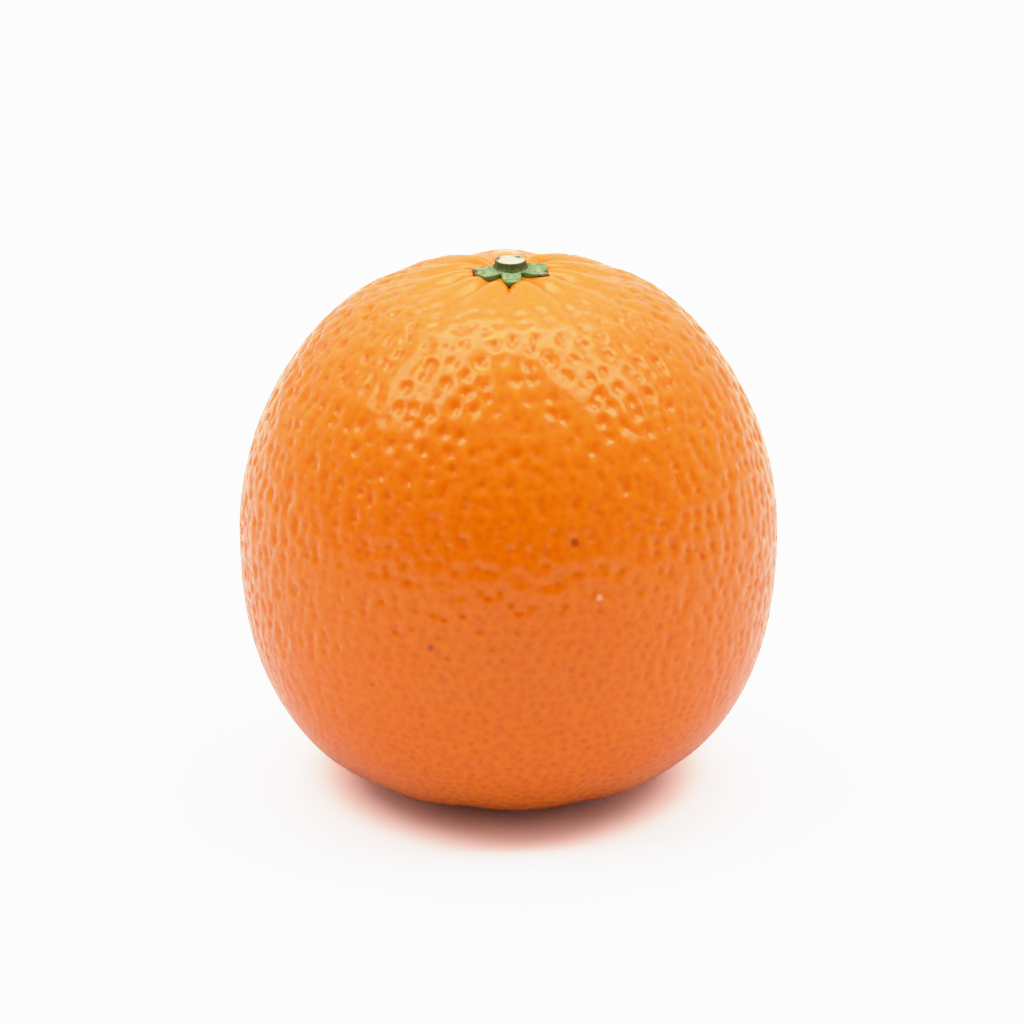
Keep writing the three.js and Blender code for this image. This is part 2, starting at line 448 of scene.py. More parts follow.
def nearest_glands(points, glands, count):
    """Indices of the few glands nearest to each point of a grid."""
    found = np.zeros((count, *points.shape[:2]), int)
    for row, line in enumerate(points):
        near, apart = glands_by(line, glands)
        found[:, row] = near[np.argpartition(apart, count, axis=1)[:, :count].T]
    return found


def hollow_depths(points, glands, width, depth):
    """Sum of a bell curve over each gland: depth * exp(-(distance / width) squared)."""
    total = np.zeros(points.shape[:2])
    for row, line in enumerate(points):
        near, apart = glands_by(line, glands)
        total[row] = np.exp(-apart / width[near] ** 2) @ depth[near]
    return total


def rind_piece(settings):
    """The rind, sunk along its normals by the hollows over its large oil glands."""
    columns, rows = RIND_GRID
    turn = np.arange(columns)[None, :] / columns
    points = rind_points(turn, np.linspace(0, 1, rows)[:, None])
    bands = (points[1:] + points[:-1]) / 2
    bands = (bands + np.roll(bands, -1, axis=1)) / 2
    wide, narrow = settings.crown_spacing / MM, settings.base_spacing / MM
    even = settings.small_spacing / MM
    large, large_gap = spread_glands(wide, narrow, LARGE_SEED)
    small, small_gap = spread_glands(even, even, SMALL_SEED)
    chance = np.random.default_rng(CHANCE_SEED).uniform(0, 1, (3, max(len(large), len(small))))
    large_chance = chance[0][:len(large)]
    large_share = gland_share(large) * smoothstep(large[:, 2], *PITS_DEEPEN)
    large_share *= LEAST_PIT + (1 - LEAST_PIT) * large_chance
    hollow_share = gland_share(large) * smoothstep(large[:, 2], *HOLLOWS_DEEPEN)
    hollow_share *= LEAST_HOLLOW + (1 - LEAST_HOLLOW) * large_chance
    hollows = settings.hollow_depth / MM * hollow_share
    sunk = hollow_depths(points, large, HOLLOW_WIDTH * large_gap, hollows)
    sunk -= HOLLOW_LIFT * settings.hollow_depth / MM * smoothstep(points[..., 2], *HOLLOWS_DEEPEN)
    points = points - surface_normals(points) * sunk[..., None]
    points[..., 2] = np.maximum(points[..., 2], 0)
    large_dark = gland_share(large) * (1 - CROWN_FADE * smoothstep(large[:, 2], *PITS_DEEPEN))
    large_form = gland_forms(large_gap, LARGE_RADIUS, settings.pit_depth / MM * large_share,
                             large_dark, chance[1])
    small_share = gland_share(small) * (1 - CROWN_FADE * smoothstep(small[:, 2], *PITS_DEEPEN))
    small_form = gland_forms(small_gap, SMALL_RADIUS, settings.small_depth / MM * small_share,
                             gland_share(small), chance[2])
    at_faces = {}
    for kind, glands, form, count in (
        ("large", large, large_form, LARGE_NEAR), ("small", small, small_form, SMALL_NEAR),
    ):
        for place, near in enumerate(nearest_glands(bands, glands, count)):
            at_faces[f"{kind}_gland_{place}"] = glands[near] * MM
            at_faces[f"{kind}_form_{place}"] = form[near]
    scattered = scatter_specks()
    specks = speck_places(points, scattered)
    nearest = np.linalg.norm(bands[:, :, None] - specks, axis=-1).argmin(axis=-1)
    forms = [(radius, strength, 0) for _, _, radius, strength in scattered] + [(*STYLE_SCAR, 0)]
    at_faces["speck_place"] = specks[nearest] * MM
    at_faces["speck_form"] = np.array(forms)[nearest]
    return closed_surface("rind", points, at_faces=at_faces)


def scatter_specks():
    """Azimuth in degrees, height, radius and strength of each speck, in rows."""
    random = np.random.default_rng(SPECK_SEED)
    azimuth = random.uniform(0, 360, SPECK_COUNT)
    height = random.uniform(*SPECK_HEIGHTS, SPECK_COUNT)
    smallest, largest = SPECK_RADII
    radius = smallest + (largest - smallest) * random.uniform(0, 1, SPECK_COUNT) ** 2
    strength = random.uniform(*SCAR_STRENGTHS, SPECK_COUNT)
    strength[::PALE_EVERY] = PALE_STRENGTH
    return np.stack([azimuth, height, radius, strength], axis=-1)


def speck_places(points, scattered):
    """The point of the rind nearest to each speck's azimuth and height, and then the one at
    the middle of its base."""
    azimuth = np.degrees(np.arctan2(points[..., 1], points[..., 0]))
    places = []
    for speck_azimuth, height, _, _ in scattered:
        turned = np.radians((azimuth - speck_azimuth + 180) % 360 - 180)
        miss = np.hypot(turned * GIRTH_RADIUS, points[..., 2] - height)
        places.append(points[np.unravel_index(miss.argmin(), miss.shape)])
    places.append(points[-1, 0])
    return np.array(places)


def gland_share(glands):
    """0 on the bare rind round the calyx, and 1 further out and below."""
    bare = smoothstep(np.hypot(glands[:, 0], glands[:, 1]), *SMOOTH_CROWN)
    return np.where(glands[:, 2] > GIRTH_LEVEL, bare, 1)


def gland_forms(gap, radii, depth, share, chance):
    """Radius, depth and darkness of each gland's pit, in columns."""
    size = radii[0] + (radii[1] - radii[0]) * chance[:len(gap)]
    return np.stack([gap * size, depth * size / radii[1], share], axis=-1)


def rind_material(settings):
    """Flavedo, the coloured outer rind: a thin natural wax gives it a soft gloss, light that enters it
    comes out warmer, and the oil glands under it show as darker dots. Its colour is also painted
    yellower near the top and redder lower down, as painted light and shade."""
    material, tree = new_material("clementine_flavedo")
    here = add_node(tree, "ShaderNodeTexCoord").outputs["Object"]
    wander = add_node(tree, "ShaderNodeTexNoise", inputs={
        "Vector": here, "Scale": 1 / (WANDER_SIZE * MM), "Detail": 0.0,
    })
    centred = add_node(tree, "ShaderNodeVectorMath", {"operation": "SUBTRACT"}, {
        0: wander.outputs["Color"], 1: (0.5, 0.5, 0.5),
    })
    about_here = add_node(tree, "ShaderNodeVectorMath", {"operation": "MULTIPLY_ADD"}, {
        0: centred, 1: (WANDER * MM,) * 3, 2: here,
    })
    relief = 0.0
    darkness = 0.0
    names = [f"large_{{}}_{place}" for place in range(LARGE_NEAR)]
    names += [f"small_{{}}_{place}" for place in range(SMALL_NEAR)]
    for name in names:
        gland = add_node(tree, "ShaderNodeAttribute", {"attribute_name": name.format("gland")})
        form = add_node(tree, "ShaderNodeAttribute", {"attribute_name": name.format("form")})
        parts = add_node(tree, "ShaderNodeSeparateXYZ", inputs={0: form.outputs["Vector"]})
        apart = add_node(tree, "ShaderNodeVectorMath", {"operation": "DISTANCE"}, {
            0: about_here, 1: gland.outputs["Vector"],
        })
        in_radii = add_node(tree, "ShaderNodeMath", {"operation": "DIVIDE"}, {
            0: apart.outputs["Value"], 1: parts.outputs["X"],
        })
        in_radii = add_node(tree, "ShaderNodeMath", {"operation": "DIVIDE"}, {0: in_radii, 1: MM})
        steeper = add_node(tree, "ShaderNodeMath", {"operation": "POWER"}, {0: in_radii, 1: 2.0})
        inside = add_node(tree, "ShaderNodeMath", {"operation": "SUBTRACT", "use_clamp": True}, {
            0: 1.0, 1: steeper,
        })
        bowl = add_node(tree, "ShaderNodeMath", {"operation": "POWER"}, {0: inside, 1: 2.0})
        sunk = add_node(tree, "ShaderNodeMath", {"operation": "MULTIPLY"}, {
            0: bowl, 1: parts.outputs["Y"],
        })
        relief = add_node(tree, "ShaderNodeMath", {"operation": "SUBTRACT"}, {0: relief, 1: sunk})
        darkness = add_node(tree, "ShaderNodeMath", {"operation": "MULTIPLY_ADD"}, {
            0: bowl, 1: parts.outputs["Z"], 2: darkness,
        })
    grain = add_node(tree, "ShaderNodeTexNoise", inputs={
        "Vector": here, "Scale": 1 / (GRAIN_SIZE * MM), "Detail": 3.0,
    })
    grained = add_node(tree, "ShaderNodeMath", {"operation": "MULTIPLY_ADD"}, {
        0: grain, 1: GRAIN_DEPTH, 2: relief,
    })
    bump = add_node(tree, "ShaderNodeBump", inputs={"Height": grained, "Distance": MM})
    cloud = add_node(tree, "ShaderNodeTexNoise", inputs={
        "Vector": here, "Scale": 1 / (CLOUD_SIZE * MM), "Detail": 2.0,
    })
    cloud_share = add_node(tree, "ShaderNodeMapRange", {"interpolation_type": "SMOOTHSTEP"}, {
        "Value": cloud, "From Min": 0.35, "From Max": 0.65,
    })
    level = add_node(tree, "ShaderNodeSeparateXYZ", inputs={0: here})
    # Painted light and shade: the colour is yellower near the top and redder lower down, for how the
    # light falls. The cloud adds the rind's own redder patches on top of this.
    painted_light_share = add_node(tree, "ShaderNodeMapRange", {"interpolation_type": "SMOOTHSTEP"}, {
        "Value": level.outputs["Z"],
        "From Min": PAINTED_LIGHT_HEIGHTS[0] * MM, "From Max": PAINTED_LIGHT_HEIGHTS[1] * MM,
        "To Min": PAINTED_LIGHT_SHARES[0], "To Max": PAINTED_LIGHT_SHARES[1],
    })
    patches_and_painted_light = add_node(tree, "ShaderNodeMath", {"operation": "MULTIPLY_ADD", "use_clamp": True}, {
        0: cloud_share, 1: CLOUD_STRENGTH, 2: painted_light_share,
    })
    skin = add_node(tree, "ShaderNodeMix", {"data_type": "RGBA"}, {
        "Factor": patches_and_painted_light, MIX_A: (*settings.colour, 1), MIX_B: (*settings.patch_and_painted_shade_colour, 1),
    })
    dot_share = add_node(tree, "ShaderNodeMath", {"operation": "MULTIPLY", "use_clamp": True}, {
        0: darkness, 1: DOT_STRENGTH,
    })
    coloured = add_node(tree, "ShaderNodeMix", {"data_type": "RGBA"}, {
        "Factor": dot_share, MIX_A: skin.outputs[MIX_COLOUR], MIX_B: (*settings.gland_colour, 1),
    })
    place = add_node(tree, "ShaderNodeAttribute", {"attribute_name": "speck_place"})
    form = add_node(tree, "ShaderNodeAttribute", {"attribute_name": "speck_form"})
    parts = add_node(tree, "ShaderNodeSeparateXYZ", inputs={0: form.outputs["Vector"]})
    apart = add_node(tree, "ShaderNodeVectorMath", {"operation": "DISTANCE"}, {
        0: about_here, 1: place.outputs["Vector"],
    })
    in_radii = add_node(tree, "ShaderNodeMath", {"operation": "DIVIDE"}, {
        0: apart.outputs["Value"], 1: parts.outputs["X"],
    })
    spot = add_node(tree, "ShaderNodeMapRange", {"interpolation_type": "SMOOTHSTEP"}, {
        "Value": in_radii, "From Min": 0.4 * MM, "From Max": MM, "To Min": 1.0, "To Max": 0.0,
    })
    scarred = add_node(tree, "ShaderNodeMath", {"operation": "MULTIPLY", "use_clamp": True}, {
        0: spot, 1: parts.outputs["Y"],
    })
    unmarked = add_node(tree, "ShaderNodeMath", {"operation": "MULTIPLY"}, {
        0: parts.outputs["Y"], 1: -1.0,
    })
    paled = add_node(tree, "ShaderNodeMath", {"operation": "MULTIPLY", "use_clamp": True}, {
        0: spot, 1: unmarked,
    })
    with_scars = add_node(tree, "ShaderNodeMix", {"data_type": "RGBA"}, {
        "Factor": scarred, MIX_A: coloured.outputs[MIX_COLOUR], MIX_B: (*settings.scar_colour, 1),
    })
    with_specks = add_node(tree, "ShaderNodeMix", {"data_type": "RGBA"}, {
        "Factor": paled, MIX_A: with_scars.outputs[MIX_COLOUR], MIX_B: linear(PALE_SPECK),
    })
    shader = add_node(tree, "ShaderNodeBsdfPrincipled", inputs={
        "Base Color": with_specks.outputs[MIX_COLOUR],
        "Roughness": settings.roughness,
        "IOR": 1.45,
        "Specular Tint": WAX_TINT,
        "Subsurface Weight": 1.0,
        "Subsurface Radius": GLOW_COLOURS,
        "Subsurface Scale": GLOW_DEPTH * MM,
        "Normal": bump,
    })
    add_node(tree, "ShaderNodeOutputMaterial", inputs={"Surface": shader})
    return material


# Calyx

def calyx_rows():
    """Outline of a coin with a rounded edge, from the middle of its top to that of its base.

    Returns share, the distance from the axis as a share of the reach, and level, the height
    in millimetres over its base."""
    inner = 1 - CALYX_EDGE
    corner = np.linspace(0, np.pi / 2, CALYX_CORNER_ROWS)
    top = np.linspace(0, inner, CALYX_TOP_ROWS)[:-1]
    under = np.linspace(inner, 0, CALYX_UNDER_ROWS)[1:]
    share = np.concatenate([
        top,
        inner + CALYX_EDGE * np.sin(corner),
        inner + CALYX_EDGE * np.cos(corner),
        under,
    ])
    level = np.concatenate([
        np.full(top.shape, CALYX_THICKNESS),
        CALYX_THICKNESS - CALYX_EDGE * (1 - np.cos(corner)),
        CALYX_EDGE * (1 - np.sin(corner)),
        np.zeros(under.shape),
    ])
    return share[:, None], level[:, None]


def on_sepal(azimuth, middle, half_width):
    """1 on the middle of a sepal, and 0 from the notches outwards."""
    apart = np.abs((azimuth - middle + 180) % 360 - 180)
    return smoothstep(half_width - apart, 0, SEPAL_SHOULDER)


def calyx_piece():
    """A coin whose rim is drawn out to the sepals and whose underside lies over the crown.

    Three low ribs run out along each sepal, and its top is a little wavy."""
    turn = np.arange(CALYX_COLUMNS)[None, :] / CALYX_COLUMNS
    azimuth = azimuth_at(turn)
    share, level = calyx_rows()
    reach = CALYX_NOTCH_RADIUS
    droop = 0
    browned = 0
    rib = 0
    for middle, half_width, sepal_reach, sepal_droop in SEPALS:
        full = on_sepal(azimuth, middle, half_width)
        reach = np.maximum(reach, CALYX_NOTCH_RADIUS + (sepal_reach - CALYX_NOTCH_RADIUS) * full)
        droop = np.maximum(droop, sepal_droop * full)
        for line in RIB_LINES:
            turned = (azimuth - middle - line * half_width + 180) % 360 - 180
            aside = np.radians(turned) * share * sepal_reach
            rib = np.maximum(rib, np.exp(-((aside / RIB_WIDTH) ** 2)))
    for middle, strength in WITHERED:
        turned = (azimuth - middle + 180) % 360 - 180
        browned = np.maximum(browned, strength * np.exp(-((turned / WITHERED_WIDTH) ** 2)))
    distance = share * reach
    rib = rib * smoothstep(share, *RIB_STARTS) * smoothstep(share, *RIB_ENDS)
    wave = WAVE_HEIGHT * np.sin(np.radians(3 * azimuth)) * smoothstep(share, *WAVE_STARTS)
    top = CALYX_TOP - droop * share ** 2 + RIB_HEIGHT * rib + wave
    clear = crown_height(distance, turn) + CALYX_CLEARANCE * smoothstep(distance, 0, SEAT_RADIUS)
    bottom = np.maximum(clear, top - CALYX_THICKNESS)
    height = bottom + (top - bottom) * level / CALYX_THICKNESS
    points = at_azimuth(distance, azimuth, height)
    shape = points.shape[:2]
    return closed_surface("calyx_sepals", points, {
        "level": np.broadcast_to(level / CALYX_THICKNESS, shape),
        "rib": np.broadcast_to(rib, shape),
        "brown_tip": np.broadcast_to(browned * smoothstep(share, *WITHERED_FROM), shape),
    })


def calyx_material(settings):
    """Drying sepals: dull and waxy, sage on top with pale ribs and mottling, a fresher green
    on the thick edge, and brown at the tips where they have withered."""
    material, tree = new_material("waxy_sepal")
    here = add_node(tree, "ShaderNodeTexCoord").outputs["Object"]
    level = add_node(tree, "ShaderNodeAttribute", {"attribute_name": "level"})
    rib = add_node(tree, "ShaderNodeAttribute", {"attribute_name": "rib"})
    tip = add_node(tree, "ShaderNodeAttribute", {"attribute_name": "brown_tip"})
    mottle = add_node(tree, "ShaderNodeTexNoise", inputs={
        "Vector": here, "Scale": 1 / (0.5 * MM), "Detail": 4.0,
    })
    pale_share = add_node(tree, "ShaderNodeMapRange", {"interpolation_type": "SMOOTHSTEP"}, {
        "Value": mottle, "From Min": 0.38, "From Max": 0.66,
    })
    ribbed = add_node(tree, "ShaderNodeMath", {"operation": "MULTIPLY_ADD", "use_clamp": True}, {
        0: rib.outputs["Fac"], 1: 0.35, 2: pale_share,
    })
    sage = add_node(tree, "ShaderNodeMix", {"data_type": "RGBA"}, {
        "Factor": ribbed, MIX_A: (*settings.colour, 1), MIX_B: (*settings.pale_colour, 1),
    })
    top_share = add_node(tree, "ShaderNodeMapRange", {"interpolation_type": "SMOOTHSTEP"}, {
        "Value": level.outputs["Fac"], "From Min": 0.8, "From Max": 1.0,
    })
    green = add_node(tree, "ShaderNodeMix", {"data_type": "RGBA"}, {
        "Factor": top_share, MIX_A: (*settings.edge_colour, 1), MIX_B: sage.outputs[MIX_COLOUR],
    })
    patchy_tip = add_node(tree, "ShaderNodeMath", {"operation": "SUBTRACT"}, {
        0: tip.outputs["Fac"], 1: mottle,
    })
    withered = add_node(tree, "ShaderNodeMapRange", {"interpolation_type": "SMOOTHSTEP"}, {
        "Value": patchy_tip, "From Min": -0.15, "From Max": 0.35,
    })
    colour = add_node(tree, "ShaderNodeMix", {"data_type": "RGBA"}, {
        "Factor": withered, MIX_A: green.outputs[MIX_COLOUR], MIX_B: (*settings.tip_colour, 1),
    })
    bump = add_node(tree, "ShaderNodeBump", inputs={"Height": mottle, "Distance": 0.12 * MM})
    shader = add_node(tree, "ShaderNodeBsdfPrincipled", inputs={
        "Base Color": colour.outputs[MIX_COLOUR],
        "Roughness": 0.55,
        "IOR": 1.45,
        "Normal": bump,
    })
    add_node(tree, "ShaderNodeOutputMaterial", inputs={"Surface": shader})
    return material


# Stub

def stub_piece():
    """A plug turned about its own axis: a dished cut, a rounded rim, a wall that flares out to
    its foot, and a flat base. Each stretch is a quadratic curve."""
    def curve(start, pull, end, steps):
        t = np.linspace(0, 1, steps)[:, None]
        return (1 - t) ** 2 * start + 2 * t * (1 - t) * pull + t ** 2 * end

    r, h, foot = STUB_CUT_RADIUS, STUB_HEIGHT, STUB_FOOT_RADIUS
    dish = h - STUB_DISH
    stretches = [
        curve(np.array((0, dish)), np.array((0.5 * r, dish)), np.array((0.93 * r, h)), CUT_ROWS),
        curve(np.array((0.93 * r, h)), np.array((r, h)), np.array((r, 0.85 * h)), RIM_ROWS)[1:],
        curve(np.array((r, 0.85 * h)), np.array((r, 0.25 * h)), np.array((foot, 0)), WALL_ROWS)[1:],
        np.stack([np.linspace(foot, 0, FOOT_ROWS), np.zeros(FOOT_ROWS)], axis=-1)[1:],
    ]
    profile = np.concatenate(stretches)
    radius, height = profile[:, :1], profile[:, 1:]
    turn = np.arange(STUB_COLUMNS)[None, :] / STUB_COLUMNS
    points = np.stack(np.broadcast_arrays(
        LEAN_SHIFT + radius * np.cos(2 * np.pi * turn),
        radius * np.sin(2 * np.pi * turn),
        CALYX_TOP + height,
    ), axis=-1)
    shape = points.shape[:2]
    cut = np.zeros(shape)
    cut[:CUT_ROWS] = 1
    bruise = np.zeros(shape)
    for azimuth, share in STUB_BRUISES:
        turned = (360 * turn - azimuth + 180) % 360 - 180
        along = np.radians(turned) * share / BRUISE_LENGTH
        bruise += np.exp(-(along ** 2) - ((radius / r - share) / BRUISE_WIDTH) ** 2)
    return closed_surface("stub_of_stalk", points, {
        "radius": np.broadcast_to(radius / r, shape),
        "cut": cut,
        "bruise": cut * bruise,
    })


def stub_material(settings):
    """Snipped green wood: pale pith on the cut with a yellow-green ring of bast and two bruises,
    and dull olive bark round it with faint streaks down its side."""
    material, tree = new_material("green_wood")
    here = add_node(tree, "ShaderNodeTexCoord").outputs["Object"]
    cut = add_node(tree, "ShaderNodeAttribute", {"attribute_name": "cut"})
    radius = add_node(tree, "ShaderNodeAttribute", {"attribute_name": "radius"})
    bruise = add_node(tree, "ShaderNodeAttribute", {"attribute_name": "bruise"})
    fibres = add_node(tree, "ShaderNodeTexNoise", inputs={
        "Vector": here, "Scale": 1 / (0.25 * MM), "Detail": 4.0,
    })
    ring_share = add_node(tree, "ShaderNodeMapRange", {"interpolation_type": "SMOOTHSTEP"}, {
        "Value": radius.outputs["Fac"], "From Min": 0.72, "From Max": 0.95,
    })
    wood = add_node(tree, "ShaderNodeMix", {"data_type": "RGBA"}, {
        "Factor": ring_share, MIX_A: (*settings.pith_colour, 1), MIX_B: (*settings.ring_colour, 1),
    })
    fibre_share = add_node(tree, "ShaderNodeMapRange", {"interpolation_type": "SMOOTHSTEP"}, {
        "Value": fibres, "From Min": 0.5, "From Max": 0.75, "To Min": 0.0, "To Max": 0.35,
    })
    fibrous = add_node(tree, "ShaderNodeMix", {"data_type": "RGBA"}, {
        "Factor": fibre_share, MIX_A: wood.outputs[MIX_COLOUR], MIX_B: linear(FIBRE),
    })
    bruised = add_node(tree, "ShaderNodeMix", {"data_type": "RGBA"}, {
        "Factor": bruise.outputs["Fac"],
        MIX_A: fibrous.outputs[MIX_COLOUR],
        MIX_B: linear(BRUISE),
    })
    stretched = add_node(tree, "ShaderNodeVectorMath", {"operation": "MULTIPLY"}, {
        0: here, 1: (1, 1, 0.2),
    })
    streaks = add_node(tree, "ShaderNodeTexNoise", inputs={
        "Vector": stretched, "Scale": 1 / (0.3 * MM), "Detail": 2.0,
    })
    streak_share = add_node(tree, "ShaderNodeMapRange", {"interpolation_type": "SMOOTHSTEP"}, {
        "Value": streaks, "From Min": 0.4, "From Max": 0.7,
    })
    bark = add_node(tree, "ShaderNodeMix", {"data_type": "RGBA"}, {
        "Factor": streak_share, MIX_A: (*settings.bark_colour, 1), MIX_B: linear(STREAK),
    })
    colour = add_node(tree, "ShaderNodeMix", {"data_type": "RGBA"}, {
        "Factor": cut.outputs["Fac"],
        MIX_A: bark.outputs[MIX_COLOUR],
        MIX_B: bruised.outputs[MIX_COLOUR],
    })
    bump = add_node(tree, "ShaderNodeBump", inputs={"Height": fibres, "Distance": 0.08 * MM})
    shader = add_node(tree, "ShaderNodeBsdfPrincipled", inputs={
        "Base Color": colour.outputs[MIX_COLOUR],
        "Roughness": 0.6,
        "IOR": 1.45,
        "Normal": bump,
    })
    add_node(tree, "ShaderNodeOutputMaterial", inputs={"Surface": shader})
    return material


# Stage

def floor_piece():
    """A plain matt board. It is whiter to the viewer than in the light that it gives back."""
    half = FLOOR_SIZE / 2
    corners = [(-half, -half, 0), (half, -half, 0), (half, half, 0), (-half, half, 0)]
    mesh = bpy.data.meshes.new("floor")
    mesh.from_pydata(corners, [], [(0, 1, 2, 3)])
    floor = bpy.data.objects.new("floor", mesh)
    bpy.context.scene.collection.objects.link(floor)
    material, tree = new_material("matt_white_board")
    path = add_node(tree, "ShaderNodeLightPath")
    seen = add_node(tree, "ShaderNodeBsdfDiffuse", inputs={"Color": grey(FLOOR_SEEN)})
    bounced = add_node(tree, "ShaderNodeBsdfDiffuse", inputs={"Color": grey(FLOOR_BOUNCE)})
    shown = add_node(tree, "ShaderNodeMixShader", inputs={
        0: path.outputs["Is Camera Ray"], 1: bounced, 2: seen,
    })
    add_node(tree, "ShaderNodeOutputMaterial", inputs={"Surface": shown})
    mesh.materials.append(material)


def soft_box(name, direction, size, turn, brightness):
    """An area light of that radiance, which faces the fruit from a direction."""
    light = bpy.data.lights.new(name, "AREA")
    light.shape = "RECTANGLE"
    light.size, light.size_y = size
    light.energy = brightness * np.pi * size[0] * size[1]
    box = bpy.data.objects.new(name, light)
    towards = Vector(direction).normalized()
    box.location = Vector((0, 0, GIRTH_LEVEL * MM)) + towards * LIGHT_DISTANCE
    aim = towards.to_track_quat("Z", "Y") @ Quaternion((0, 0, 1), np.radians(turn))
    box.rotation_euler = aim.to_euler()
    bpy.context.scene.collection.objects.link(box)


def surroundings(settings):
    """A dim room whose pale walls glow softly. The viewer sees it as plain white."""
    world = bpy.data.worlds.new("pale_room")
    world.use_nodes = True
    tree = world.node_tree
    tree.nodes.clear()
    way = add_node(tree, "ShaderNodeTexCoord").outputs["Generated"]
    total = 0.0
    for direction, edges, brightness in PALE_WALLS:
        towards = add_node(tree, "ShaderNodeVectorMath", {"operation": "DOT_PRODUCT"}, {
            0: way, 1: Vector(direction).normalized(),
        })
        glow = add_node(tree, "ShaderNodeMapRange", {"interpolation_type": "SMOOTHSTEP"}, {
            "Value": towards.outputs["Value"], "From Min": edges[0], "From Max": edges[1],
            "To Min": 0.0, "To Max": brightness * settings.wall_light,
        })
        total = add_node(tree, "ShaderNodeMath", {"operation": "ADD"}, {0: total, 1: glow})
    path = add_node(tree, "ShaderNodeLightPath")
    walls = add_node(tree, "ShaderNodeBackground", inputs={"Color": grey(1), "Strength": total})
    plain = add_node(tree, "ShaderNodeBackground", inputs={"Color": linear(BACKDROP), "Strength": 1.0})
    shown = add_node(tree, "ShaderNodeMixShader", inputs={
        0: path.outputs["Is Camera Ray"], 1: walls, 2: plain,
    })
    add_node(tree, "ShaderNodeOutputWorld", inputs={"Surface": shown})
    world.cycles.sampling_method = "NONE"
    bpy.context.scene.world = world


def soft_whites():
    """Lets bright light roll off softly instead of clipping, each colour by itself.

    Up to SHOULDER nothing changes, and above it the rest of the way to white is shared out as
    a hyperbola."""
    view = bpy.context.scene.view_settings
    view.view_transform = "Standard"
    view.use_curve_mapping = True
    mapping = view.curve_mapping
    mapping.white_level = (BRIGHTEST,) * 3
    curve = mapping.curves[3]
    room = 1 - SHOULDER
    light = SHOULDER + (BRIGHTEST - SHOULDER) * np.linspace(0, 1, SHOULDER_POINTS) ** 2
    shown = 1 - room ** 2 / (light - SHOULDER + room)
    curve.points[1].location = (1, shown[-1])
    for x, y in zip(light[:-1] / BRIGHTEST, shown[:-1]):
        curve.points.new(x, y)
    for point in curve.points:
        point.handle_type = "VECTOR"
    mapping.update()


def camera():
    lens = bpy.data.cameras.new("camera")
    lens.lens = CAMERA_LENS
    lens.sensor_width = SENSOR_WIDTH
    viewer = bpy.data.objects.new("camera", lens)
    elevation = np.radians(CAMERA_ELEVATION)
    back = Vector((0, -np.cos(elevation), np.sin(elevation)))
    viewer.location = Vector(CAMERA_AIM) + back * CAMERA_DISTANCE
    viewer.rotation_euler = back.to_track_quat("Z", "Y").to_euler()
    bpy.context.scene.collection.objects.link(viewer)
    bpy.context.scene.camera = viewer


class RindSettings(bpy.types.PropertyGroup):
    crown_spacing: FloatProperty(
        name="Gland spacing at the crown", description="Between large oil glands near the stem end",
        default=2.3 * MM, min=0.5 * MM, unit="LENGTH", precision=5,
    )
    base_spacing: FloatProperty(
        name="Gland spacing at the base", description="Between large oil glands near the base",
        default=1.3 * MM, min=0.5 * MM, unit="LENGTH", precision=5,
    )
    hollow_depth: FloatProperty(
        name="Hollow depth", description="Depth of the wide hollows near the stem end",
        default=0.34 * MM, min=0, unit="LENGTH", precision=5,
    )
    pit_depth: FloatProperty(
        name="Pit depth", description="Depth of the narrow pits near the stem end",
        default=0.1 * MM, min=0, unit="LENGTH", precision=5,
    )
    small_spacing: FloatProperty(
        name="Small gland spacing", description="Between the small oil glands that lie all over",
        default=1.2 * MM, min=0.5 * MM, unit="LENGTH", precision=5,
    )
    small_depth: FloatProperty(
        name="Small pit depth", description="Depth of the pits over the small glands",
        default=0.045 * MM, min=0, unit="LENGTH", precision=5,
    )
    roughness: FloatProperty(
        name="Roughness", description="How dull the wax on the rind is",
        default=0.2, min=0, max=1, subtype="FACTOR",
    )
    colour: FloatVectorProperty(
        name="Colour", description="Colour of the rind", subtype="COLOR", min=0, max=1,
        default=linear("#f58300")[:3],
    )
    # Colour of the rind's own redder patches, and also the colour it is painted towards lower down, as
    # painted shade.
    patch_and_painted_shade_colour: FloatVectorProperty(
        name="Ripe colour", description="Colour of its redder patches", subtype="COLOR", min=0, max=1,
        default=linear("#f57700")[:3],
    )
    gland_colour: FloatVectorProperty(
        name="Gland colour", description="Colour over the oil glands", subtype="COLOR", min=0, max=1,
        default=linear("#e16100")[:3],
    )
    scar_colour: FloatVectorProperty(
        name="Scar colour", description="Colour of the small scars", subtype="COLOR", min=0, max=1,
        default=linear("#ab3f10")[:3],
    )


class CalyxSettings(bpy.types.PropertyGroup):
    colour: FloatVectorProperty(
        name="Sepal colour", description="Colour of the sepals' tops", subtype="COLOR", min=0, max=1,
        default=linear("#5f7438")[:3],
    )
    pale_colour: FloatVectorProperty(
        name="Pale colour", description="Colour of their ribs and mottling", subtype="COLOR",
        min=0, max=1, default=linear("#8a9a68")[:3],
    )
    edge_colour: FloatVectorProperty(
        name="Edge colour", description="Colour of the sepals' thick edges", subtype="COLOR",
        min=0, max=1, default=linear("#587f30")[:3],
    )
    tip_colour: FloatVectorProperty(
        name="Tip colour", description="Colour of the withered tips", subtype="COLOR",
        min=0, max=1, default=linear("#4a3018")[:3],
    )


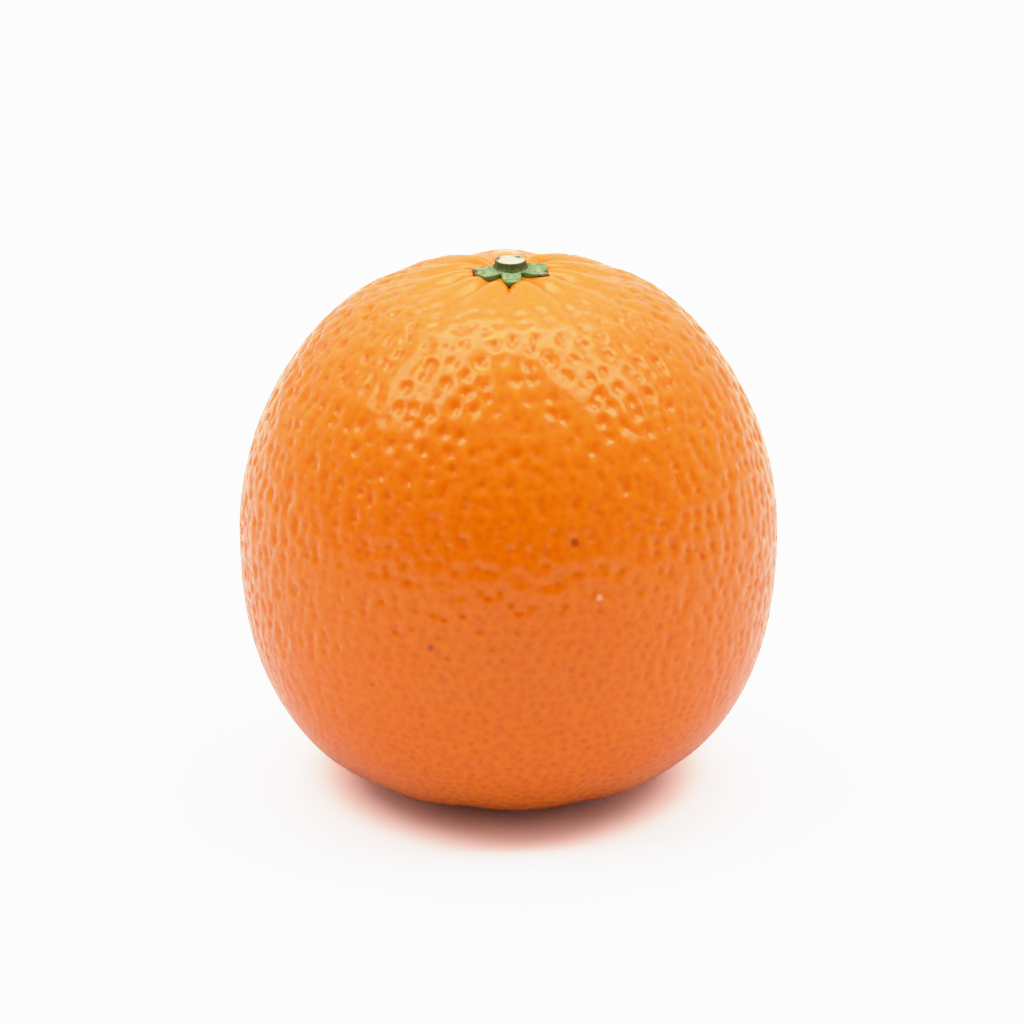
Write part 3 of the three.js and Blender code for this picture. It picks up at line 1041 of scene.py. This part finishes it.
class StubSettings(bpy.types.PropertyGroup):
    pith_colour: FloatVectorProperty(
        name="Pith colour", description="Colour of the cut", subtype="COLOR", min=0, max=1,
        default=linear("#c6bca4")[:3],
    )
    ring_colour: FloatVectorProperty(
        name="Ring colour", description="Colour of the cut near its rim", subtype="COLOR", min=0, max=1,
        default=linear("#a69f60")[:3],
    )
    bark_colour: FloatVectorProperty(
        name="Bark colour", description="Colour of the stub's side", subtype="COLOR", min=0, max=1,
        default=linear("#4a5210")[:3],
    )


class StageSettings(bpy.types.PropertyGroup):
    wall_light: FloatProperty(
        name="Wall light", description="Brightness of the pale walls", default=1, min=0,
    )
    box_light: FloatProperty(
        name="Soft boxes", description="Brightness of the soft boxes overhead", default=1, min=0,
    )


class ClementineSettings(bpy.types.PropertyGroup):
    rind: PointerProperty(type=RindSettings)
    calyx: PointerProperty(type=CalyxSettings)
    stub: PointerProperty(type=StubSettings)
    stage: PointerProperty(type=StageSettings)


class CLEMENTINE_OT_rind(bpy.types.Operator):
    """Add the pitted rind in place of the plain fruit"""

    bl_idname = "clementine.rind"
    bl_label = "Rind"

    def execute(self, context):
        settings = context.scene.clementine.rind
        finish_piece(rind_piece(settings), "fruit", rind_material(settings))
        return {"FINISHED"}


class CLEMENTINE_OT_calyx(bpy.types.Operator):
    """Add the calyx of dried sepals"""

    bl_idname = "clementine.calyx"
    bl_label = "Calyx"

    def execute(self, context):
        settings = context.scene.clementine.calyx
        finish_piece(calyx_piece(), "calyx", calyx_material(settings))
        return {"FINISHED"}


class CLEMENTINE_OT_stub(bpy.types.Operator):
    """Add the snipped stub of the stalk"""

    bl_idname = "clementine.stub"
    bl_label = "Stub of the stalk"

    def execute(self, context):
        settings = context.scene.clementine.stub
        finish_piece(stub_piece(), "stalk_stub", stub_material(settings))
        return {"FINISHED"}


class CLEMENTINE_OT_stage(bpy.types.Operator):
    """Add the floor, the lights and the camera"""

    bl_idname = "clementine.stage"
    bl_label = "Stage"

    def execute(self, context):
        settings = context.scene.clementine.stage
        floor_piece()
        surroundings(settings)
        for name, direction, size, turn, brightness in SOFT_BOXES:
            soft_box(name, direction, size, turn, brightness * settings.box_light)
        camera()
        soft_whites()
        return {"FINISHED"}


class CLEMENTINE_PT_panel(bpy.types.Panel):
    """Lists the clementine's pieces and stage"""

    bl_idname = "CLEMENTINE_PT_panel"
    bl_label = "Clementine"
    bl_space_type = "VIEW_3D"
    bl_region_type = "UI"
    bl_category = "Clementine"

    def draw(self, context):
        for operator in OPERATORS:
            self.layout.operator(operator.bl_idname)


OPERATORS = (CLEMENTINE_OT_rind, CLEMENTINE_OT_calyx, CLEMENTINE_OT_stub, CLEMENTINE_OT_stage)
GROUPS = (RindSettings, CalyxSettings, StubSettings, StageSettings, ClementineSettings)


def register():
    for cls in (*GROUPS, *OPERATORS, CLEMENTINE_PT_panel):
        bpy.utils.register_class(cls)
    bpy.types.Scene.clementine = PointerProperty(type=ClementineSettings)


def unregister():
    del bpy.types.Scene.clementine
    for cls in reversed((*GROUPS, *OPERATORS, CLEMENTINE_PT_panel)):
        bpy.utils.unregister_class(cls)


def main():
    register()
    bpy.ops.clementine.rind()
    bpy.ops.clementine.calyx()
    bpy.ops.clementine.stub()
    bpy.ops.clementine.stage()


if __name__ == "__main__":
    main()
